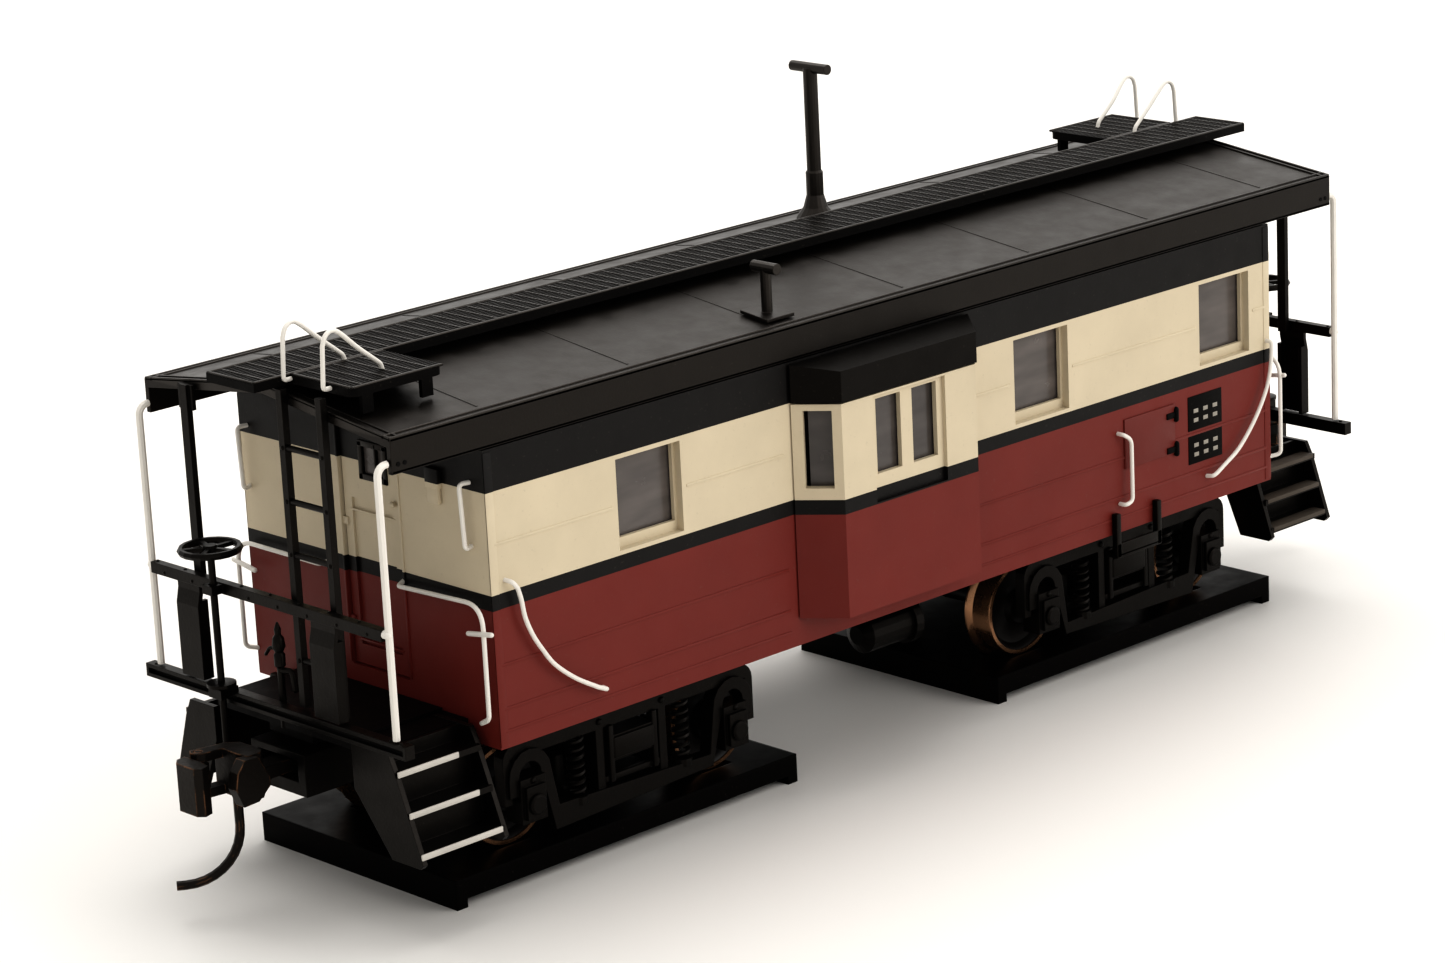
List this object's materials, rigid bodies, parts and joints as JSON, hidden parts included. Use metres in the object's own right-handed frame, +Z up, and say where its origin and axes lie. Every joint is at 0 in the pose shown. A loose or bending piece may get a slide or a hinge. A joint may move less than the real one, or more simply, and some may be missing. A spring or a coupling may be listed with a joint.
{
  "type": "model caboose",
  "caption": "HO scale bay-window caboose with open end platforms, two sprung four-wheel trucks and knuckle couplers, on two wheel cradles.",
  "frame": {"origin": "bottom centre of the whole model, on the floor under the cradles", "axes": "+X along the car from the front end to the rear end, +Y to the far side, +Z up"},
  "size_m": [0.1442, 0.0412, 0.0611],
  "materials": {
    "body_cream": "satin paint on moulded plastic",
    "roof_black": "satin black",
    "body_red": "satin paint on moulded plastic",
    "frame_black": "satin black",
    "handrail_white": "white painted wire",
    "window_clear": "clear plastic, smoked by the dark inside",
    "wheel_metal": "blackened, bronze tint on the treads",
    "coupler_metal": "blackened die-cast",
    "weight_brass": "plain",
    "cradle_plastic": "smooth black"
  },
  "bodies": {
    "carbody": {"body_shell": "body_cream", "end_door_front": "body_cream", "end_door_rear": "body_cream", "roof": "roof_black", "bay_roof_right": "roof_black", "bay_roof_left": "roof_black", "running_board": "roof_black", "smoke_stack": "roof_black", "roof_vent": "roof_black", "bay_right": "body_red", "bay_left": "body_red", "glazing_right": "window_clear", "glazing_left": "window_clear", "bay_glazing_right": "window_clear", "bay_glazing_left": "window_clear", "ballast_weight": "weight_brass", "underframe": "frame_black", "brake_cylinder": "frame_black", "air_reservoir": "frame_black", "end_sill_front": "frame_black", "railing_front": "frame_black", "ladder_front": "frame_black", "roof_post_front": "frame_black", "draft_box_front": "frame_black", "steps_front_right": "frame_black", "corner_post_front_right": "handrail_white", "steps_front_left": "frame_black", "corner_post_front_left": "handrail_white", "kingpin_front": "coupler_metal", "end_sill_rear": "frame_black", "railing_rear": "frame_black", "ladder_rear": "frame_black", "roof_post_rear": "frame_black", "draft_box_rear": "frame_black", "steps_rear_right": "frame_black", "corner_post_rear_right": "handrail_white", "steps_rear_left": "frame_black", "corner_post_rear_left": "handrail_white", "kingpin_rear": "coupler_metal"},
    "truck_front": {"truck_bolster_front": "frame_black", "sideframe_front_right": "frame_black", "sideframe_front_left": "frame_black"},
    "truck_rear": {"truck_bolster_rear": "frame_black", "sideframe_rear_right": "frame_black", "sideframe_rear_left": "frame_black"},
    "wheelset_front_outer": {"wheelset_front_outer": "wheel_metal"},
    "wheelset_front_inner": {"wheelset_front_inner": "wheel_metal"},
    "cradle_front": {"cradle_front": "cradle_plastic"},
    "coupler_front": {"coupler_front": "coupler_metal", "trip_pin_front": "coupler_metal"},
    "knuckle_front": {"knuckle_front": "coupler_metal"},
    "brake_wheel_front": {"brake_wheel_front": "frame_black"},
    "wheelset_rear_outer": {"wheelset_rear_outer": "wheel_metal"},
    "wheelset_rear_inner": {"wheelset_rear_inner": "wheel_metal"},
    "cradle_rear": {"cradle_rear": "cradle_plastic"},
    "coupler_rear": {"coupler_rear": "coupler_metal", "trip_pin_rear": "coupler_metal"},
    "knuckle_rear": {"knuckle_rear": "coupler_metal"},
    "brake_wheel_rear": {"brake_wheel_rear": "frame_black"}
  },
  "joints": [
    {"name": "truck_front_swivel", "type": "hinge", "parent": "carbody", "child": "truck_front", "pos_m": [-0.0334, 0, 0.0105], "axis": [0, 0, 1], "range_deg": [-8, 8]},
    {"name": "wheelset_front_outer_spin", "type": "hinge", "parent": "truck_front", "child": "wheelset_front_outer", "pos_m": [-0.0456, 0, 0.0073], "axis": [0, 1, 0], "continuous": true},
    {"name": "wheelset_front_inner_spin", "type": "hinge", "parent": "truck_front", "child": "wheelset_front_inner", "pos_m": [-0.0212, 0, 0.0073], "axis": [0, 1, 0], "continuous": true},
    {"name": "cradle_front_lift_off", "type": "slide", "parent": "truck_front", "child": "cradle_front", "axis": [0, 0, -1], "range_m": [0, 0.015]},
    {"name": "coupler_front_swing", "type": "hinge", "parent": "carbody", "child": "coupler_front", "pos_m": [-0.0575, 0, 0.0125], "axis": [0, 0, 1], "range_deg": [-8, 8], "stiffness_Nm_per_rad": 0.00002},
    {"name": "knuckle_front_open", "type": "hinge", "parent": "coupler_front", "child": "knuckle_front", "pos_m": [-0.0692, 0.00245, 0.0125], "axis": [0, 0, -1], "range_deg": [0, 30], "stiffness_Nm_per_rad": 0.000004},
    {"name": "brake_wheel_front_turn", "type": "hinge", "parent": "carbody", "child": "brake_wheel_front", "pos_m": [-0.0634, 0.0062, 0.022], "axis": [0, 0, 1], "continuous": true},
    {"name": "truck_rear_swivel", "type": "hinge", "parent": "carbody", "child": "truck_rear", "pos_m": [0.0334, 0, 0.0105], "axis": [0, 0, 1], "range_deg": [-8, 8]},
    {"name": "wheelset_rear_outer_spin", "type": "hinge", "parent": "truck_rear", "child": "wheelset_rear_outer", "pos_m": [0.0456, 0, 0.0073], "axis": [0, 1, 0], "continuous": true},
    {"name": "wheelset_rear_inner_spin", "type": "hinge", "parent": "truck_rear", "child": "wheelset_rear_inner", "pos_m": [0.0212, 0, 0.0073], "axis": [0, 1, 0], "continuous": true},
    {"name": "cradle_rear_lift_off", "type": "slide", "parent": "truck_rear", "child": "cradle_rear", "axis": [0, 0, -1], "range_m": [0, 0.015]},
    {"name": "coupler_rear_swing", "type": "hinge", "parent": "carbody", "child": "coupler_rear", "pos_m": [0.0575, 0, 0.0125], "axis": [0, 0, 1], "range_deg": [-8, 8], "stiffness_Nm_per_rad": 0.00002},
    {"name": "knuckle_rear_open", "type": "hinge", "parent": "coupler_rear", "child": "knuckle_rear", "pos_m": [0.0692, -0.00245, 0.0125], "axis": [0, 0, -1], "range_deg": [0, 30], "stiffness_Nm_per_rad": 0.000004},
    {"name": "brake_wheel_rear_turn", "type": "hinge", "parent": "carbody", "child": "brake_wheel_rear", "pos_m": [0.0634, -0.0062, 0.022], "axis": [0, 0, 1], "continuous": true}
  ]
}
